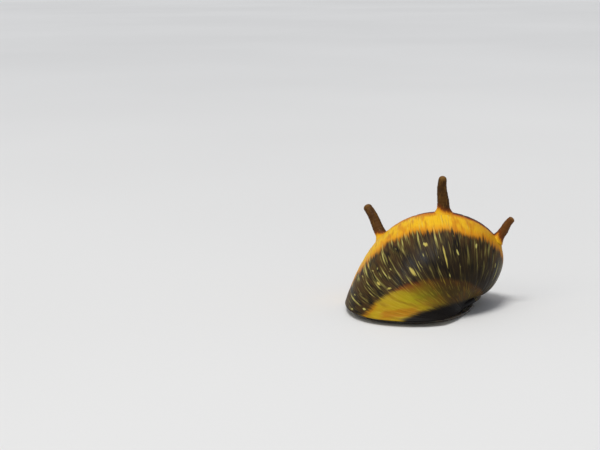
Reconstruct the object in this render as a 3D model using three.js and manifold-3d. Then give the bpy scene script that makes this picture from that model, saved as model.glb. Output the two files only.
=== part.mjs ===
import * as THREE from 'three';
import { mergeVertices } from 'three/addons/utils/BufferGeometryUtils.js';
import loadManifold from 'manifold-3d';

// Horned nerite snail, life size, in millimetres, clamped to a level floor at z = 0.
// The head points to -X, the animal's left side to -Y, and the apex lies to the right rear.

const wasm = await loadManifold();
wasm.setup();

const DEGREE = Math.PI / 180;

// The shell grows by turning its margin about the coil axis while scaling it about the apex.
const GROWTH_PER_RADIAN = 0.3027;
const COIL_YAW = 18.85 * DEGREE;
const COIL_TILT = 29.1 * DEGREE;
const AXIS_FOOT = new THREE.Vector3(2.64, -4.08, 0);
const AXIS_LENGTH = 9.71;

// The margin of the aperture is an uneven oval that lies level, just above the floor.
const MARGIN_CENTRE = new THREE.Vector2(-1.31, -0.57);
const MARGIN_TURN = -10.95 * DEGREE;
const MARGIN_FRONT = 6.78;
const MARGIN_REAR = 8.2;
const MARGIN_LEFT = 9.44;
const MARGIN_RIGHT = 8.67;
const MARGIN_SQUARENESS = 2.244;
const MARGIN_CLEARANCE = 0.7;

// Wall, inner shelf (the columellar deck), callus and the space around the soft body.
const WALL = 0.6;
const HINGE_SHIFT = 0.5;
const PILLAR_RADIUS = 2.5;
const DECK_WIDTH = 4.9;
const DECK_CEILING = 2.1;
const RECESS_WIDTH = 1.9;
const CALLUS_WIDTH = 1.8;
const CALLUS_PROFILE = [[0, 0.4], [0.15, 0.28], [0.5, 0.5], [0.9, 1], [1.3, 1.7]];
const CALLUS_WAIST = { depth: 1.05, centre: 155 * DEGREE, halfWidth: 55 * DEGREE };
const CALLUS_TUCK = { depth: 1.4, from: 212 * DEGREE, to: 226 * DEGREE };
const PART_GAP = 0.3;
const CLOSE = 0.005;
const SPIRE_RISE = 0.25;

// Growth angles, in degrees back from the margin.
const BODY_START = -325;
const SPIRE_START = -880;
const CAVITY_START = -125;
const HORN_LINE = -41.2 * DEGREE;

// Horns stand on low bosses that widen downward by their spread; each tip is where the horn ends.
const HORNS = [
  {
    name: 'horn_front', growth: -36.2, tip: [-6.45, 5.0, 9.4],
    root: 0.6, end: 0.46, bend: 0.12, spread: 2.7,
  },
  {
    name: 'horn_middle', growth: -95.0, tip: [2.16, -0.55, 13.73],
    root: 0.66, end: 0.41, bend: -0.12, spread: 2.6,
  },
  {
    name: 'horn_rear', growth: -159.9, tip: [9.86, 0.18, 9.03],
    root: 0.5, end: 0.34, bend: -0.1, spread: 1.95,
  },
];
const BOSS_HEIGHT = 0.8;
const BOSS_DEPTH = 1.1;

// Foot: rings of its edge as height above the floor and inset from the margin.
const FOOT_PROFILE = [[0, 1.35], [0.08, 1.1], [0.28, 1.05], [0.4, 1.3]];
const FOOT_REAR_TOP = 0.9;
const FOOT_REAR_INSET = 2.1;
const NECK_INSET = 2.5;
const NECK_TOP = 3;
const BODY_INSET = 1;

// Operculum: a D-shaped plate on the rear of the foot, under the deck.
const OPERCULUM = { thickness: 0.5, length: 5.4, width: 1.6, x: 2.15, y: -1.3 };

// Head, tucked under the front of the right margin and turned to the animal's right.
const HEAD_PLACE = new THREE.Vector2(-4.0, 3.5);
const HEADING = 120 * DEGREE;
const HEAD_SIZE = [1.5, 1.2, 0.62];
const HEAD_HEIGHT = 0.8;
const HEAD_REAR = -0.75;
const NOTCH_HALF_WIDTH = 2.5;
const SNOUT_SIZE = [0.8, 0.95, 0.42];
const SNOUT_REACH = 1.15;
const MOUTH = { width: 1.0, slit: 0.12, depth: 0.25 };
const TENTACLES = [
  { name: 'tentacle_left', side: 1, tip: [-7.3, 6.9, 0.3], root: 0.26, end: 0.14 },
  { name: 'tentacle_right', side: -1, tip: [-4.4, 9.2, 0.3], root: 0.26, end: 0.14 },
];
const EYE_RADIUS = 0.25;
const EYE_GAP = 0.12;

const coilAxis = new THREE.Vector3(
  Math.sin(COIL_YAW) * Math.cos(COIL_TILT),
  Math.cos(COIL_YAW) * Math.cos(COIL_TILT),
  Math.sin(COIL_TILT),
);
const apex = AXIS_FOOT.clone().addScaledVector(coilAxis, AXIS_LENGTH);

// Carries a point of the margin back to where the shell made it at an earlier growth angle.
function coil(point, growth) {
  const scale = Math.exp(GROWTH_PER_RADIAN * growth);
  return point.clone().sub(apex).applyAxisAngle(coilAxis, -growth).multiplyScalar(scale).add(apex);
}

// Point of the margin, drawn in by an inset; 0 is the front, positive angles run to the left side.
function marginPoint(angle, inset) {
  const c = Math.cos(angle);
  const s = Math.sin(angle);
  const power = MARGIN_SQUARENESS;
  const reach = 1 / Math.pow(Math.abs(c) ** power + Math.abs(s) ** power, 1 / power);
  const x = -((c > 0 ? MARGIN_FRONT : MARGIN_REAR) - inset) * c * reach;
  const y = -((s > 0 ? MARGIN_LEFT : MARGIN_RIGHT) - inset) * s * reach;
  const turned = new THREE.Vector2(x, y).rotateAround(new THREE.Vector2(), MARGIN_TURN);
  return new THREE.Vector3(turned.x + MARGIN_CENTRE.x, turned.y + MARGIN_CENTRE.y, 0);
}

// Distance of a margin point behind the hinge line, about which the margin turns as it grows.
function behindHinge(point, shelf) {
  const hinge = apex.x + (GROWTH_PER_RADIAN * apex.z + coilAxis.x * (point.y - apex.y)) / coilAxis.y;
  return point.x - hinge + shelf;
}

// Angle at which the margin crosses the edge of the shelf, found by halving.
function crossing(side, inset, shelf) {
  let near = 0;
  let far = side * 165 * DEGREE;
  for (let step = 0; step < 40; step += 1) {
    const middle = (near + far) / 2;
    if (behindHinge(marginPoint(middle, inset), shelf) > 0) far = middle;
    else near = middle;
  }
  return near;
}

// Closed ring of one growth stage: the outer margin, drawn in by the same depth at every stage,
// then the straight edge of the shelf, whose width grows with the shell.
function stageRing(growth, inset, shelf, arcSteps, edgeSteps) {
  const scale = Math.exp(GROWTH_PER_RADIAN * growth);
  const drawnIn = inset / scale;
  const start = crossing(-1, drawnIn, shelf);
  const end = crossing(1, drawnIn, shelf);
  const ring = [];
  for (let i = 0; i < arcSteps; i += 1) {
    ring.push(marginPoint(start + ((end - start) * i) / arcSteps, drawnIn));
  }
  const from = marginPoint(end, drawnIn);
  const to = marginPoint(start, drawnIn);
  for (let i = 0; i < edgeSteps; i += 1) {
    ring.push(from.clone().lerp(to, i / edgeSteps));
  }
  return ring.map((point) => coil(point, growth));
}

// Closed skin over a row of rings, each with the same number of points, capped at both ends.
function skinRings(rings) {
  const sides = rings[0].length;
  const spans = rings.length - 1;
  const tube = new THREE.CylinderGeometry(1, 1, 1, sides, spans);
  tube.deleteAttribute('normal');
  tube.deleteAttribute('uv');
  const geometry = mergeVertices(tube, 1e-5);
  const position = geometry.attributes.position;
  const centres = rings.map((ring) => {
    const sum = ring.reduce((total, point) => total.add(point), new THREE.Vector3());
    return sum.divideScalar(sides);
  });
  for (let i = 0; i < position.count; i += 1) {
    const x = position.getX(i);
    const z = position.getZ(i);
    const row = Math.round((0.5 - position.getY(i)) * spans);
    const turn = Math.atan2(x, z) / (2 * Math.PI);
    const column = (Math.round(turn * sides) + sides) % sides;
    const point = Math.hypot(x, z) < 0.5 ? centres[row] : rings[row][column];
    position.setXYZ(i, point.x, point.y, point.z);
  }
  return geometry;
}

function sweepShell({ from, to, step, inset = 0, shelf = 0, arcSteps = 42, edgeSteps = 6 }) {
  const spans = Math.max(1, Math.round((to - from) / step));
  const rings = [];
  for (let i = 0; i <= spans; i += 1) {
    const growth = (from + ((to - from) * i) / spans) * DEGREE;
    rings.push(stageRing(growth, inset, shelf, arcSteps, edgeSteps));
  }
  return toSolid(skinRings(rings));
}

// Turns a geometry into a solid, with its faces pointing out.
function toSolid(source) {
  const bare = source.clone();
  bare.deleteAttribute('normal');
  bare.deleteAttribute('uv');
  const geometry = mergeVertices(bare, 1e-5);
  const vertProperties = new Float32Array(geometry.attributes.position.array);
  const triVerts = new Uint32Array(geometry.index.array);
  let volume = 0;
  const corner = [0, 1, 2].map(() => new THREE.Vector3());
  for (let i = 0; i < triVerts.length; i += 3) {
    corner.forEach((point, k) => point.fromArray(vertProperties, triVerts[i + k] * 3));
    volume += corner[0].dot(corner[1].cross(corner[2]));
  }
  if (volume < 0) triVerts.reverse();
  return new wasm.Manifold(new wasm.Mesh({ numProp: 3, vertProperties, triVerts }));
}

// Keeps the largest closed surface of a solid and turns it back into a geometry.
function toGeometry(solid) {
  const pieces = solid.simplify(0.02).decompose();
  const largest = pieces.reduce((best, piece) => (piece.volume() > best.volume() ? piece : best));
  const mesh = largest.getMesh();
  const geometry = new THREE.BufferGeometry();
  geometry.setAttribute('position', new THREE.BufferAttribute(new Float32Array(mesh.vertProperties), 3));
  geometry.setIndex(new THREE.BufferAttribute(new Uint32Array(mesh.triVerts), 1));
  geometry.computeVertexNormals();
  partClosePoints(geometry);
  return geometry;
}

// Draws a point a little into the body where it would lie on a point of another face.
function partClosePoints(geometry) {
  const { position, normal } = geometry.attributes;
  const cells = new Map();
  const point = new THREE.Vector3();
  const inward = new THREE.Vector3();
  const other = new THREE.Vector3();
  const key = (x, y, z) => `${x},${y},${z}`;
  const tooClose = (k) => other.fromBufferAttribute(position, k).distanceTo(point) < CLOSE;
  const crowded = () => {
    const [cx, cy, cz] = point.toArray().map((value) => Math.floor(value / CLOSE));
    for (let n = 0; n < 27; n += 1) {
      const [dx, dy, dz] = [n % 3, Math.floor(n / 3) % 3, Math.floor(n / 9)];
      const near = cells.get(key(cx + dx - 1, cy + dy - 1, cz + dz - 1));
      if (near && near.some(tooClose)) return true;
    }
    return false;
  };
  for (let i = 0; i < position.count; i += 1) {
    point.fromBufferAttribute(position, i);
    inward.fromBufferAttribute(normal, i).negate();
    for (let tries = 0; tries < 8 && crowded(); tries += 1) point.addScaledVector(inward, CLOSE);
    position.setXYZ(i, point.x, point.y, point.z);
    const cell = key(...point.toArray().map((value) => Math.floor(value / CLOSE)));
    cells.set(cell, [...(cells.get(cell) || []), i]);
  }
}

function slab(low, high) {
  const box = new THREE.BoxGeometry(60, 60, high - low);
  box.translate(0, 0, (low + high) / 2);
  return toSolid(box);
}

// Round tapering piece along a curve; the radius is a function of the share of the length.
function taper(curve, radius, sides, spans) {
  const frames = curve.computeFrenetFrames(spans, false);
  const rings = [];
  for (let i = 0; i <= spans; i += 1) {
    const centre = curve.getPointAt(i / spans);
    const ring = [];
    for (let k = 0; k < sides; k += 1) {
      const angle = (k / sides) * 2 * Math.PI;
      const point = centre.clone();
      point.addScaledVector(frames.normals[i], radius(i / spans) * Math.cos(angle));
      point.addScaledVector(frames.binormals[i], radius(i / spans) * Math.sin(angle));
      ring.push(point);
    }
    rings.push(ring);
  }
  return skinRings(rings);
}

function ellipsoid(size, place, turn = 0) {
  const geometry = new THREE.SphereGeometry(1, 20, 12);
  geometry.scale(size[0], size[1], size[2]);
  geometry.rotateZ(turn);
  geometry.translate(place[0], place[1], place[2]);
  return toSolid(geometry);
}

function lifted(solid) {
  return solid.translate([0, 0, MARGIN_CLEARANCE]);
}

// Horn: where it stands, which way it goes, and the boss under it.
function hornPlace(horn) {
  const growth = horn.growth * DEGREE;
  const root = coil(marginPoint(HORN_LINE, 0), growth);
  const tip = new THREE.Vector3(...horn.tip);
  const along = tip.clone().sub(root).normalize();
  return { root, tip, along };
}

function hornBoss(horn) {
  const { root, along } = hornPlace(horn);
  const line = new THREE.LineCurve3(
    root.clone().addScaledVector(along, -BOSS_DEPTH),
    root.clone().addScaledVector(along, BOSS_HEIGHT),
  );
  const spread = (share) => horn.root * (1 + horn.spread * (1 - share) ** 2);
  return toSolid(taper(line, spread, 24, 7));
}

function hornGeometry(horn) {
  const { root, tip, along } = hornPlace(horn);
  const start = root.clone().addScaledVector(along, BOSS_HEIGHT + PART_GAP);
  const sideways = new THREE.Vector3(0, 1, 0).cross(along).normalize();
  const middle = start.clone().lerp(tip, 0.55).addScaledVector(sideways, horn.bend);
  const shoulder = start.clone().addScaledVector(along, 0.15);
  const curve = new THREE.CatmullRomCurve3([start, shoulder, middle, tip]);
  const radius = (share) => {
    const straight = horn.root + (horn.end - horn.root) * share;
    const rounding = Math.sqrt(Math.max(0, 1 - Math.max(0, (share - 0.88) / 0.12) ** 2));
    return straight * (0.12 + 0.88 * rounding);
  };
  return taper(curve, radius, 18, 18);
}

// Rings of the whole margin, each at a height and drawn in, skinned into a slab with a shaped edge;
// the waist is a further inset that depends on the angle.
function marginSlab(profile, sides, waist = () => 0) {
  const rings = profile.map(([height, inset]) => {
    const ring = [];
    for (let i = 0; i < sides; i += 1) {
      const angle = (i / sides) * 2 * Math.PI;
      const point = marginPoint(angle, inset + waist(angle));
      point.z = height;
      ring.push(point);
    }
    return ring;
  });
  return toSolid(skinRings(rings));
}

// Inset of the callus: at the left rear it stays under the coil instead of standing out, and at
// its right end it tucks in behind the rear end of the lip.
function callusWaist(angle) {
  const away = Math.min(1, Math.abs(angle - CALLUS_WAIST.centre) / CALLUS_WAIST.halfWidth);
  const tuck = THREE.MathUtils.smoothstep(angle, CALLUS_TUCK.from, CALLUS_TUCK.to);
  return CALLUS_WAIST.depth * Math.cos((away * Math.PI) / 2) ** 2 + CALLUS_TUCK.depth * tuck;
}

// Space behind a line parallel to the hinge, at a given distance in front of it.
function behindLine(distance) {
  const box = new THREE.BoxGeometry(40, 60, 40);
  box.translate(20, 0, 0);
  box.rotateZ(-COIL_YAW);
  box.translate(-behindHinge(new THREE.Vector3(), distance), 0, 0);
  return toSolid(box);
}

// Solid middle of the coil, a cone from the apex down the coil axis.
function coilPillar(scale, extra) {
  const length = AXIS_LENGTH * scale;
  const cone = new THREE.ConeGeometry(PILLAR_RADIUS * scale + extra, length, 20);
  cone.translate(0, -length / 2, 0);
  cone.applyQuaternion(new THREE.Quaternion().setFromUnitVectors(new THREE.Vector3(0, 1, 0), coilAxis));
  cone.translate(apex.x, apex.y, apex.z);
  return toSolid(cone);
}

// Body whorl: three lengths of the coil and the callus, with the bosses of the horns.
const stages = [
  [BODY_START, -215, 10],
  [-215, -105, 10],
  [-105, 0, 8.75],
];
const aboveMargin = slab(0, 30);
const callus = marginSlab(CALLUS_PROFILE, 56, callusWaist).intersect(behindLine(CALLUS_WIDTH));
let bodyWhorl = callus;
stages.forEach(([from, to, step]) => {
  bodyWhorl = bodyWhorl.add(sweepShell({ from, to, step, shelf: HINGE_SHIFT }));
});
HORNS.forEach((horn) => {
  bodyWhorl = bodyWhorl.add(hornBoss(horn));
});
bodyWhorl = bodyWhorl.add(coilPillar(0.8, 0)).intersect(aboveMargin);

const cavity = sweepShell({
  from: CAVITY_START, to: 8, step: 9, inset: WALL, shelf: DECK_WIDTH, arcSteps: 36, edgeSteps: 6,
});
const recess = sweepShell({
  from: -60, to: 8, step: 10, inset: WALL, shelf: RECESS_WIDTH, arcSteps: 36, edgeSteps: 6,
}).intersect(slab(-4, DECK_CEILING));
bodyWhorl = bodyWhorl.subtract(cavity).subtract(recess);

// Spire: the older whorls, seated in the body whorl with a narrow groove around them.
const older = {
  from: SPIRE_START, to: BODY_START - 4, step: 18, shelf: HINGE_SHIFT, arcSteps: 22, edgeSteps: 3,
};
const spireScale = Math.exp(GROWTH_PER_RADIAN * BODY_START * DEGREE);
const spireSpace = sweepShell({ ...older, from: -560, to: BODY_START + 4, inset: -PART_GAP });
const spire = sweepShell({ ...older, to: -560 })
  .add(sweepShell({ ...older, from: -560 }))
  .add(coilPillar(spireScale * 0.8, 0))
  .translate(coilAxis.clone().multiplyScalar(SPIRE_RISE).toArray());
bodyWhorl = bodyWhorl.subtract(spireSpace).subtract(coilPillar(spireScale, PART_GAP));

// Foot: a flat sole, a low lobe behind that carries the operculum, the neck, and the body in the shell.
const headAlong = new THREE.Vector2(Math.cos(HEADING), Math.sin(HEADING));
const sole = marginSlab(FOOT_PROFILE, 56);
const rearLobe = sweepShell({
  from: -20, to: 12, step: 8, inset: FOOT_REAR_INSET, shelf: RECESS_WIDTH + 1, arcSteps: 32, edgeSteps: 6,
}).translate([0, 0, MARGIN_CLEARANCE]).intersect(slab(0.2, FOOT_REAR_TOP));
const neck = sweepShell({
  from: -70, to: 12, step: 8, inset: NECK_INSET, shelf: DECK_WIDTH + 0.8, arcSteps: 32, edgeSteps: 6,
}).translate([0, 0, MARGIN_CLEARANCE]).intersect(slab(0.2, NECK_TOP));
const innerBody = sweepShell({
  from: CAVITY_START + 8,
  to: 12,
  step: 10,
  inset: BODY_INSET,
  shelf: DECK_WIDTH + 0.8,
  arcSteps: 32,
  edgeSteps: 6,
}).translate([0, 0, MARGIN_CLEARANCE]).intersect(slab(NECK_TOP - 0.4, 30));

// Room for the head: everything ahead of the head's flat rear face.
function headBox(rear, halfWidth) {
  const box = new THREE.BoxGeometry(12, 2 * halfWidth, 12);
  box.translate(6 + rear, 0, 0);
  box.rotateZ(HEADING);
  box.translate(HEAD_PLACE.x, HEAD_PLACE.y, 0);
  return toSolid(box);
}
const foot = sole
  .add(rearLobe)
  .add(neck)
  .add(innerBody)
  .subtract(headBox(HEAD_REAR - PART_GAP, NOTCH_HALF_WIDTH));

// Operculum.
const plate = new THREE.Shape();
plate.moveTo(0, -OPERCULUM.length / 2);
plate.lineTo(0, OPERCULUM.length / 2);
plate.bezierCurveTo(
  -OPERCULUM.width * 1.3, OPERCULUM.length * 0.4,
  -OPERCULUM.width * 1.3, -OPERCULUM.length * 0.4,
  0, -OPERCULUM.length / 2,
);
const operculum = new THREE.ExtrudeGeometry(plate, {
  depth: OPERCULUM.thickness, bevelEnabled: false, curveSegments: 24,
});
operculum.rotateZ(-COIL_YAW);
operculum.translate(OPERCULUM.x, OPERCULUM.y, FOOT_REAR_TOP + PART_GAP);

// Head: a low rounded block with a broad snout, flat behind, and a mouth slit under the snout.
function headPoint(ahead, aside, height) {
  const across = new THREE.Vector2(-headAlong.y, headAlong.x);
  const flat = HEAD_PLACE.clone().addScaledVector(headAlong, ahead).addScaledVector(across, aside);
  return [flat.x, flat.y, height];
}
const slit = new THREE.BoxGeometry(MOUTH.slit, MOUTH.width, MOUTH.depth * 2);
slit.rotateY(0.5);
slit.rotateZ(HEADING);
slit.translate(...headPoint(SNOUT_REACH + 0.45, 0, HEAD_HEIGHT - 0.62));
const head = ellipsoid(HEAD_SIZE, headPoint(0, 0, HEAD_HEIGHT), HEADING)
  .add(ellipsoid(SNOUT_SIZE, headPoint(SNOUT_REACH, 0, HEAD_HEIGHT - 0.2), HEADING))
  .intersect(headBox(HEAD_REAR, 3))
  .subtract(toSolid(slit));

function tentacleGeometry({ side, tip, root, end }) {
  const start = new THREE.Vector3(...headPoint(0.62, side * (HEAD_SIZE[1] + 0.14), HEAD_HEIGHT - 0.2));
  const leave = new THREE.Vector3(...headPoint(0.9, side * (HEAD_SIZE[1] + 0.34), HEAD_HEIGHT - 0.34));
  const target = new THREE.Vector3(...tip);
  const knee = leave.clone().lerp(target, 0.45);
  knee.z = 0.33;
  const curve = new THREE.CatmullRomCurve3([start, leave, knee, target]);
  const radius = (share) => (root + (end - root) * share) * (share > 0.97 ? 0.5 : 1);
  return taper(curve, radius, 10, 16);
}

const group = new THREE.Group();
group.name = 'nerite_snail';

function place(name, geometry, colour, roughness, metalness = 0) {
  const material = new THREE.MeshStandardMaterial({ color: colour, roughness, metalness });
  const mesh = new THREE.Mesh(geometry, material);
  mesh.name = name;
  group.add(mesh);
  return mesh;
}

place('shell_body_whorl', toGeometry(lifted(bodyWhorl)), 0x2b2113, 0.35);
place('shell_spire', toGeometry(lifted(spire)), 0x6b4a1c, 0.4);
HORNS.forEach((horn) => {
  const geometry = hornGeometry(horn);
  geometry.translate(0, 0, MARGIN_CLEARANCE);
  place(horn.name, toGeometry(toSolid(geometry)), 0x5a2f16, 0.45);
});
place('foot', toGeometry(foot), 0x3a3630, 0.55);
place('operculum', toGeometry(toSolid(operculum)), 0x8a7a5c, 0.5);
place('head', toGeometry(head), 0x3a3630, 0.55);
TENTACLES.forEach((tentacle) => {
  place(tentacle.name, toGeometry(toSolid(tentacleGeometry(tentacle))), 0x2a2724, 0.55);
});
[['eye_left', 1], ['eye_right', -1]].forEach(([name, side]) => {
  const eye = new THREE.SphereGeometry(EYE_RADIUS, 14, 10);
  eye.translate(...headPoint(0.1, side * (HEAD_SIZE[1] + EYE_RADIUS + EYE_GAP), HEAD_HEIGHT + 0.12));
  place(name, toGeometry(toSolid(eye)), 0x0c0b0a, 0.2);
});

// The origin is the middle of the floor area that the whole snail covers.
const bounds = new THREE.Box3().setFromObject(group);
const middle = bounds.getCenter(new THREE.Vector3());
group.children.forEach((mesh) => mesh.position.set(-middle.x, -middle.y, 0));

export default group;
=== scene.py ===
"""Horned nerite snail, life size, as a still museum model: fine skins, materials, light and camera.

The shell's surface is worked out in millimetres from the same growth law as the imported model:
a level oval margin, carried back round the coil axis and scaled about the apex.
"""

import math
from collections import namedtuple

import bpy
import numpy as np
from mathutils import Matrix, Vector


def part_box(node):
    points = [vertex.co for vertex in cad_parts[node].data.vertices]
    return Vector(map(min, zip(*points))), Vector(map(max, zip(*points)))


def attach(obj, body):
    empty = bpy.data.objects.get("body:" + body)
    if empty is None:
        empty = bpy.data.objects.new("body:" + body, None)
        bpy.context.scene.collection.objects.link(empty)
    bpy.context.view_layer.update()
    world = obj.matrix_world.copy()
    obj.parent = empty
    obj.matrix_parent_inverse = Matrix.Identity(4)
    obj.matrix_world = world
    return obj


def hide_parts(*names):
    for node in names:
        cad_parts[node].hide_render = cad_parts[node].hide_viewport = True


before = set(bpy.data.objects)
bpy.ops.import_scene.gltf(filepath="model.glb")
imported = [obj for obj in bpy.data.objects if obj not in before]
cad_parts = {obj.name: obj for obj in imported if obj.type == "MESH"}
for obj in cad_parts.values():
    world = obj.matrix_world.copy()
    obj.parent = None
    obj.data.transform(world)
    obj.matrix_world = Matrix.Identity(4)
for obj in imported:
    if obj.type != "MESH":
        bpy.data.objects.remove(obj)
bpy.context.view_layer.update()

MM = 0.001
DEG = math.pi / 180
SEED = 20
rng = np.random.default_rng(SEED)

# Growth of the shell: how fast it grows, how its axis lies and where its apex is.
GROWTH = 0.3027
COIL_YAW = 18.85 * DEG
COIL_TILT = 29.1 * DEG
AXIS = np.array(
    [
        math.sin(COIL_YAW) * math.cos(COIL_TILT),
        math.cos(COIL_YAW) * math.cos(COIL_TILT),
        math.sin(COIL_TILT),
    ]
)
AXIS_FOOT = np.array([2.64, -4.08, 0.0])
APEX_HEIGHT = 9.71
APEX = AXIS_FOOT + APEX_HEIGHT * AXIS

# Margin: its centre and turn, and how far it reaches from the centre to each side.
MARGIN_CENTRE = (-1.31, -0.57)
MARGIN_TURN = -10.95 * DEG
MARGIN_FRONT, MARGIN_REAR = 6.78, 8.2
MARGIN_LEFT, MARGIN_RIGHT = 9.44, 8.67
MEAN_REACH = 10
SQUARENESS = 2.244
CLEARANCE = 0.7
WALL = 0.6

# The lip ends where the margin passes behind the hinge line by the shelf.
LIP_SHELF = 0.3
FURTHEST = 165 * DEG

# Sheet over the shell: growth angles of its rows in degrees, their steps, and its columns.
OLDEST_TURN, LAST_WHORL = -1200, -330
OLD_STEP, NEW_STEP = 2.0, 0.75
COLUMNS = 250
SHEET_HEIGHT = 0.04
CREASE_HEIGHT = 0.05
CREASE_WIDTH = 7 * DEG
FLATTENED = -60 * DEG
STREAK_LEAN = 0.09

# Strip across the suture: where the older whorl lies beside the lip, and how the strip bends.
OLDER_WHORL = (LAST_WHORL * DEG, -200 * DEG)
SUTURE_POINTS = 15
SUTURE_SINK = 0.15
SUTURE_BEND = 0.3

# Lip: distance in from the margin and height of each ring, then the angles of the rings inside.
LIP_ROLL = [(-0.03, -0.03), (0.0, -0.055), (0.08, -0.07), (0.2, -0.08), (0.36, -0.075), (0.5, -0.055),
            (0.59, -0.02), (0.63, 0.05)]
LIP_TURNS = -np.array([1, 2.5, 5, 9, 14, 20, 27, 35]) * DEG
LIP_WALL = WALL + 0.03

# Growth lines: ripple lengths, and rest lines as growth angle and depth.
RIPPLES = (0.31, 0.43, 0.58, 0.83, 1.3, 2.1)
RIPPLE_HEIGHT = 0.006
RIPPLE_SWELL = 5.3
REST_LINES = [(-7, 0.03), (-22, 0.035), (-47, 0.03), (-71, 0.04), (-118, 0.035), (-143, 0.03),
              (-190, 0.04)]
REST_WIDTH = 1.3

# Callus: height and distance in of each ring, the inset and shelf of its start, its waist, and the
# tuck at its right end.
CALLUS_PROFILE = [(0.02, 1.3), (-0.02, 0.9), (-0.03, 0.55), (0.0, 0.36), (0.07, 0.27), (0.17, 0.25),
                  (0.3, 0.31), (0.5, 0.46), (0.7, 0.68), (0.9, 0.95), (1.1, 1.28), (1.3, 1.66)]
CALLUS_START = (0.3, 1.8)
CALLUS_COLUMNS = 160
CALLUS_SHEET = 0.02
CALLUS_WAIST = 1.05
CALLUS_WAIST_CENTRE = 155 * DEG
CALLUS_WAIST_HALF = 55 * DEG
CALLUS_TUCK = 1.4
CALLUS_TUCK_SPAN = (212 * DEG, 226 * DEG)

# The callus takes the colours of this growth angle, past these places along the margin.
CALLUS_AGE = -150.0
CALLUS_ACROSS = (105 * DEG, -112 * DEG)
CALLUS_REACH = 9

# Horns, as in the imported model: growth angle, tip, radius at the root and at the end, bend,
# spread of the boss, and how red the horn is.
Horn = namedtuple("Horn", "name growth tip radius end_radius bend spread warm")
HORN_LINE = -41.2 * DEG
HORNS = [
    Horn("horn_front", -36.2, (-6.45, 5.0, 9.4), 0.6, 0.46, 0.12, 2.7, 0.35),
    Horn("horn_middle", -95.0, (2.16, -0.55, 13.73), 0.66, 0.41, -0.12, 2.6, 0.2),
    Horn("horn_rear", -159.9, (9.86, 0.18, 9.03), 0.5, 0.34, -0.1, 1.95, 0.9),
]
BOSS_HEIGHT = 0.8
BOSS_DEPTH = 1.1
BOSS_CAP = 0.3
BOSS_SHEET = 0.03
BOSS_BLEND = 0.3
BOSS_RANGE = 50
BOSS_BELOW = 3

# Horn skins: how far they reach below the root, where the bend starts, and their points.
HORN_SINK = 0.15
HORN_COLLAR = 0.3
HORN_STRAIGHT_POINTS = 26
HORN_POINTS = 110
HORN_END_LENGTH, HORN_END_POINTS = 0.35, 16
HORN_SIDES = 56
HORN_DOME = 0.88
HORN_SHEET = ((-0.1, 0.5, 1.2), (0.1, 0.04, 0.02))
HORN_SEAM_SIDE = np.array([-1.0, 0.1, -0.1])

# Head, eyes and feelers.
HEAD_PLACE = np.array([-4.0, 3.5])
HEADING = 120 * DEG
HEAD_HALF_WIDTH = 1.2
HEAD_HEIGHT = 0.8
SNOUT_REACH = 1.15
EYE_RADIUS = 0.25
EYE_GAP = 0.12
EYE_AHEAD = 0.1
EYE_RISE = 0.12
EYE_ASIDE = HEAD_HALF_WIDTH + EYE_RADIUS + EYE_GAP
EYE_SHRINK = (0.01, 0.01, 0.02)
FEELERS = [(1, (-7.3, 6.9, 0.3)), (-1, (-4.4, 9.2, 0.3))]
FEELER_ROOT, FEELER_END = 0.24, 0.1
FEELER_DOME = 0.94
HEAD_SKIN = (1.45, 1.15, 0.58)
SNOUT_SKIN = (0.76, 0.9, 0.38)
NECK_SKIN = (0.9, 0.95, 0.5)
STALK_SKIN = (0.34, 0.36, 0.27)

# Foot and body in section: height and distance in from the margin of each ring.
SOLE_RINGS = [(0, 1.42), (0.05, 1.2), (0.14, 1.12), (0.26, 1.12), (0.34, 1.22), (0.4, 1.5)]
FOOT_RINGS = [(0.3, 1.6), (0.6, 2.15), (0.86, 2.4)]
BODY_RINGS = [(0.3, 2.2), (0.9, 2.6), (2.4, 2.7), (3.3, 3.4)]
BODY_CLEAR = 5.9

# Skin of the flesh.
VOXEL = 0.06
FOLDS = (0.5, 0.7, 1.1, 1.7)
FOLD_SHARE = 0.012
LIP_HEIGHT, MOUTH_DEPTH = 0.05, 0.12

# Camera of the photograph, fitted to the outline of the snail.
CAMERA_PLACE = (0.22590344, -135.59392248, 35.62098474)
CAMERA_FORWARD = (-0.09904184, 0.97504874, -0.19867225)
CAMERA_RIGHT = (0.99500778, 0.09949961, -0.00770328)
CAMERA_UP = (-0.01225674, 0.19844338, 0.98003571)


def head_point(ahead, aside, height):
    """Point given by its distances from the middle of the head."""
    along = np.array([math.cos(HEADING), math.sin(HEADING)])
    across = np.array([-along[1], along[0]])
    flat = HEAD_PLACE + ahead * along + aside * across
    return np.array([flat[0], flat[1], height])


def box_middle(node):
    low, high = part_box(node)
    return np.array((low + high) / 2) / MM


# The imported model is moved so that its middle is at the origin; an eye tells by how much.
SHIFT = box_middle("eye_left") - head_point(EYE_AHEAD, EYE_ASIDE, HEAD_HEIGHT + EYE_RISE)
SHIFT[2] = 0.0
LIFT = np.array([0.0, 0.0, CLEARANCE])


# Shell coordinates


def margin_point(psi, inset=0.0):
    """Point of the margin; psi is 0 at the front and grows to the left side."""
    c, s = np.cos(psi), np.sin(psi)
    reach = (np.abs(c) ** SQUARENESS + np.abs(s) ** SQUARENESS) ** (-1 / SQUARENESS)
    x = -(np.where(c > 0, MARGIN_FRONT, MARGIN_REAR) - inset) * c * reach
    y = -(np.where(s > 0, MARGIN_LEFT, MARGIN_RIGHT) - inset) * s * reach
    ct, st = math.cos(MARGIN_TURN), math.sin(MARGIN_TURN)
    return np.stack(
        [x * ct - y * st + MARGIN_CENTRE[0], x * st + y * ct + MARGIN_CENTRE[1], 0 * x], -1
    )


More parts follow.
